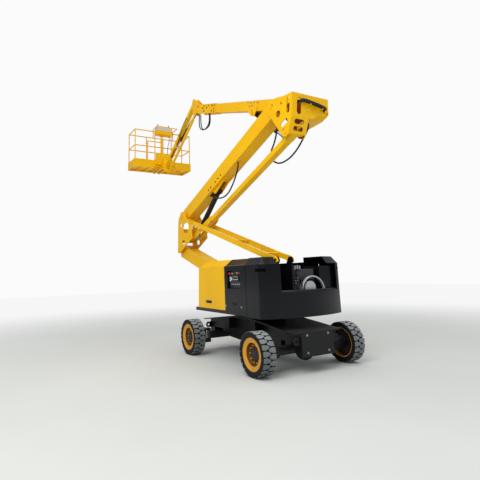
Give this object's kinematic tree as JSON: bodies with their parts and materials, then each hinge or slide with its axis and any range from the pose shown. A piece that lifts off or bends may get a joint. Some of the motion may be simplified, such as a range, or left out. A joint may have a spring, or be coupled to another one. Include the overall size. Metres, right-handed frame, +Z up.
{
  "type": "articulating boom lift",
  "caption": "Four-wheeled articulating boom lift with a double riser, a telescopic main boom, a jib and a railed work platform",
  "frame": {"origin": "On the ground under the slewing axis, half way between the axles", "axes": "+X is forward, +Y is to the machine's left and +Z is up"},
  "size_m": [7.3577, 2.04, 5.9995],
  "materials": {
    "yellow_paint": "semi-gloss",
    "orange_rim": "semi-gloss",
    "black_paint": "satin",
    "dark_steel": "satin",
    "black_rubber": "matte",
    "bright_steel": "polished",
    "silver_metal": "brushed",
    "black_plastic": "matte"
  },
  "bodies": {
    "chassis": {"chassis_frame": "black_paint", "tie_down_plates": "black_paint", "slew_ring": "dark_steel", "rear_axle": "dark_steel", "front_axle": "dark_steel"},
    "left_steering": {"left_knuckle": "dark_steel"},
    "right_steering": {"right_knuckle": "dark_steel"},
    "front_left_wheel": {"front_left_tyre": "black_rubber", "front_left_rim": "orange_rim"},
    "front_right_wheel": {"front_right_tyre": "black_rubber", "front_right_rim": "orange_rim"},
    "rear_left_wheel": {"rear_left_tyre": "black_rubber", "rear_left_rim": "orange_rim"},
    "rear_right_wheel": {"rear_right_tyre": "black_rubber", "rear_right_rim": "orange_rim"},
    "turntable": {"turntable_frame": "black_paint", "right_cabinet": "black_paint", "control_cabinet": "black_paint", "rear_cover": "black_paint", "engine": "dark_steel", "silencer": "silver_metal", "hydraulic_tank": "silver_metal", "service_box": "black_paint", "counterweight": "black_paint"},
    "left_door": {"left_hood": "yellow_paint"},
    "right_door": {"right_hood": "yellow_paint"},
    "lower_riser": {"lower_riser_arm": "yellow_paint"},
    "lower_link": {"lower_riser_link": "yellow_paint"},
    "elbow_frame": {"elbow": "yellow_paint"},
    "upper_riser": {"upper_riser_arm": "yellow_paint"},
    "upper_link": {"upper_riser_link": "yellow_paint"},
    "head": {"riser_head": "yellow_paint", "head_hoses": "black_rubber"},
    "boom": {"main_boom": "yellow_paint"},
    "fly": {"fly_boom": "yellow_paint"},
    "tip": {"tip_bracket": "yellow_paint"},
    "jib": {"jib_arm": "yellow_paint"},
    "jib_rod_link": {"jib_link": "yellow_paint"},
    "jib_end": {"jib_end_bracket": "yellow_paint"},
    "platform": {"platform_rotator": "yellow_paint", "platform_floor": "yellow_paint", "platform_rails": "yellow_paint", "platform_console": "black_plastic", "console_hose": "black_rubber"},
    "gate": {"platform_gate": "yellow_paint"},
    "lower_barrel": {"lower_lift_barrel": "black_paint"},
    "lower_piston": {"lower_lift_rod": "bright_steel"},
    "riser_barrel": {"riser_lift_barrel": "black_paint"},
    "riser_piston": {"riser_lift_rod": "bright_steel"},
    "boom_barrel": {"boom_lift_barrel": "black_paint"},
    "boom_piston": {"boom_lift_rod": "bright_steel"},
    "jib_barrel": {"jib_lift_barrel": "black_paint"},
    "jib_piston": {"jib_lift_rod": "bright_steel"}
  },
  "joints": [
    {"name": "left_steer", "type": "hinge", "parent": "chassis", "child": "left_steering", "pos_m": [1.08, 0.67, 0.325], "axis": [0, 0, 1], "range_deg": [-35, 35]},
    {"name": "right_steer", "type": "hinge", "parent": "chassis", "child": "right_steering", "pos_m": [1.08, -0.67, 0.325], "axis": [0, 0, 1], "range_deg": [-35, 35]},
    {"name": "front_left_roll", "type": "hinge", "parent": "left_steering", "child": "front_left_wheel", "pos_m": [1.08, 0.903, 0.325], "axis": [0, 1, 0], "continuous": true},
    {"name": "front_right_roll", "type": "hinge", "parent": "right_steering", "child": "front_right_wheel", "pos_m": [1.08, -0.903, 0.325], "axis": [0, 1, 0], "continuous": true},
    {"name": "rear_left_roll", "type": "hinge", "parent": "chassis", "child": "rear_left_wheel", "pos_m": [-1.08, 0.903, 0.325], "axis": [0, 1, 0], "continuous": true},
    {"name": "rear_right_roll", "type": "hinge", "parent": "chassis", "child": "rear_right_wheel", "pos_m": [-1.08, -0.903, 0.325], "axis": [0, 1, 0], "continuous": true},
    {"name": "slew", "type": "hinge", "parent": "chassis", "child": "turntable", "pos_m": [0, 0, 0.8], "axis": [0, 0, 1], "continuous": true},
    {"name": "left_door_lift", "type": "hinge", "parent": "turntable", "child": "left_door", "pos_m": [0.565, 0.6, 1.745], "axis": [1, 0, 0], "range_deg": [0, 60]},
    {"name": "right_door_lift", "type": "hinge", "parent": "turntable", "child": "right_door", "pos_m": [0.565, -0.42, 1.66], "axis": [-1, 0, 0], "range_deg": [0, 60]},
    {"name": "lower_riser_lift", "type": "hinge", "parent": "turntable", "child": "lower_riser", "pos_m": [-0.573, 0.385, 1.086], "axis": [0, -1, 0], "range_deg": [-15, 52]},
    {"name": "lower_link_swing", "type": "hinge", "parent": "turntable", "child": "lower_link", "pos_m": [-1.19, 0.385, 1.69], "axis": [0, -1, 0], "range_deg": [-15, 52]},
    {"name": "elbow_level", "type": "hinge", "parent": "lower_riser", "child": "elbow_frame", "pos_m": [2.415, 0.385, 2.045], "axis": [0, -1, 0], "range_deg": [-52, 15]},
    {"name": "upper_riser_lift", "type": "hinge", "parent": "elbow_frame", "child": "upper_riser", "pos_m": [2.19, 0.385, 2.852], "axis": [0, 1, 0], "range_deg": [-19, 45]},
    {"name": "upper_link_swing", "type": "hinge", "parent": "elbow_frame", "child": "upper_link", "pos_m": [1.85, 0.385, 2.318], "axis": [0, 1, 0], "range_deg": [-19, 45]},
    {"name": "head_level", "type": "hinge", "parent": "upper_riser", "child": "head", "pos_m": [-1.306, 0.385, 4.19], "axis": [0, 1, 0], "range_deg": [-45, 19]},
    {"name": "main_boom_lift", "type": "hinge", "parent": "head", "child": "boom", "pos_m": [-1.52, -0.03, 4.28], "axis": [0, -1, 0], "range_deg": [-20, 40]},
    {"name": "fly_boom_slide", "type": "slide", "parent": "boom", "child": "fly", "axis": [0.9438, 0, 0.3305], "range_m": [0, 1.2]},
    {"name": "tip_level", "type": "hinge", "parent": "fly", "child": "tip", "pos_m": [2.24, -0.03, 5.67], "axis": [0, -1, 0], "range_deg": [-40, 20]},
    {"name": "jib_lift", "type": "hinge", "parent": "tip", "child": "jib", "pos_m": [2.56, -0.03, 5.93], "axis": [0, 1, 0], "range_deg": [-45, 25]},
    {"name": "jib_link_swing", "type": "hinge", "parent": "tip", "child": "jib_rod_link", "pos_m": [2.24, -0.03, 5.67], "axis": [0, 1, 0], "range_deg": [-45, 25]},
    {"name": "platform_level", "type": "hinge", "parent": "jib", "child": "jib_end", "pos_m": [4.55, -0.03, 4.68], "axis": [0, 1, 0], "range_deg": [-25, 45]},
    {"name": "platform_turn", "type": "hinge", "parent": "jib_end", "child": "platform", "pos_m": [4.645, -0.03, 4.85], "axis": [0, 0, 1], "range_deg": [-90, 90]},
    {"name": "gate_swing", "type": "hinge", "parent": "platform", "child": "gate", "pos_m": [5.4147, 0.3, 5.3], "axis": [0, 0, -1], "range_deg": [0, 90]},
    {"name": "lower_barrel_swing", "type": "hinge", "parent": "turntable", "child": "lower_barrel", "pos_m": [-0.2, 0.385, 0.925], "axis": [0, -1, 0], "range_deg": [-17.3, 59.95]},
    {"name": "lower_piston_slide", "type": "slide", "parent": "lower_barrel", "child": "lower_piston", "axis": [0.9352, 0, 0.3541], "range_m": [-0.0945, 0.3273]},
    {"name": "riser_barrel_swing", "type": "hinge", "parent": "upper_riser", "child": "riser_barrel", "pos_m": [0.789, 0.385, 3.177], "axis": [0, -1, 0], "range_deg": [-2.55, 6.02]},
    {"name": "riser_piston_slide", "type": "slide", "parent": "riser_barrel", "child": "riser_piston", "axis": [0.7772, 0, -0.6292], "range_m": [-0.194, 0.4593]},
    {"name": "boom_barrel_swing", "type": "hinge", "parent": "boom", "child": "boom_barrel", "pos_m": [-0.09, -0.03, 4.618], "axis": [0, -1, 0], "range_deg": [-1.79, 0.9]},
    {"name": "boom_piston_slide", "type": "slide", "parent": "boom_barrel", "child": "boom_piston", "axis": [-0.7363, 0, -0.6767], "range_m": [-0.2459, 0.4916]},
    {"name": "jib_barrel_swing", "type": "hinge", "parent": "tip", "child": "jib_barrel", "pos_m": [2.54, -0.03, 5.61], "axis": [0, -1, 0], "range_deg": [-25.8, 46.44]},
    {"name": "jib_piston_slide", "type": "slide", "parent": "jib_barrel", "child": "jib_piston", "axis": [0.9086, 0, -0.4177], "range_m": [-0.1342, 0.2415]}
  ],
  "couplings": [
    {"joint": "right_steer", "follows": "left_steer", "ratio": 1},
    {"joint": "lower_link_swing", "follows": "lower_riser_lift", "ratio": 1},
    {"joint": "elbow_level", "follows": "lower_riser_lift", "ratio": -1},
    {"joint": "upper_link_swing", "follows": "upper_riser_lift", "ratio": 1},
    {"joint": "head_level", "follows": "upper_riser_lift", "ratio": -1},
    {"joint": "tip_level", "follows": "main_boom_lift", "ratio": -1},
    {"joint": "jib_link_swing", "follows": "jib_lift", "ratio": 1},
    {"joint": "platform_level", "follows": "jib_lift", "ratio": -1},
    {"joint": "lower_barrel_swing", "follows": "lower_riser_lift", "ratio": 1.1526},
    {"joint": "lower_piston_slide", "follows": "lower_riser_lift", "m_per_rad": 0.3605},
    {"joint": "riser_barrel_swing", "follows": "upper_riser_lift", "ratio": 0.13349},
    {"joint": "riser_piston_slide", "follows": "upper_riser_lift", "m_per_rad": 0.58456},
    {"joint": "boom_barrel_swing", "follows": "main_boom_lift", "ratio": -0.04455},
    {"joint": "boom_piston_slide", "follows": "main_boom_lift", "m_per_rad": 0.70388},
    {"joint": "jib_barrel_swing", "follows": "jib_lift", "ratio": -1.0317},
    {"joint": "jib_piston_slide", "follows": "jib_lift", "m_per_rad": -0.30728}
  ]
}
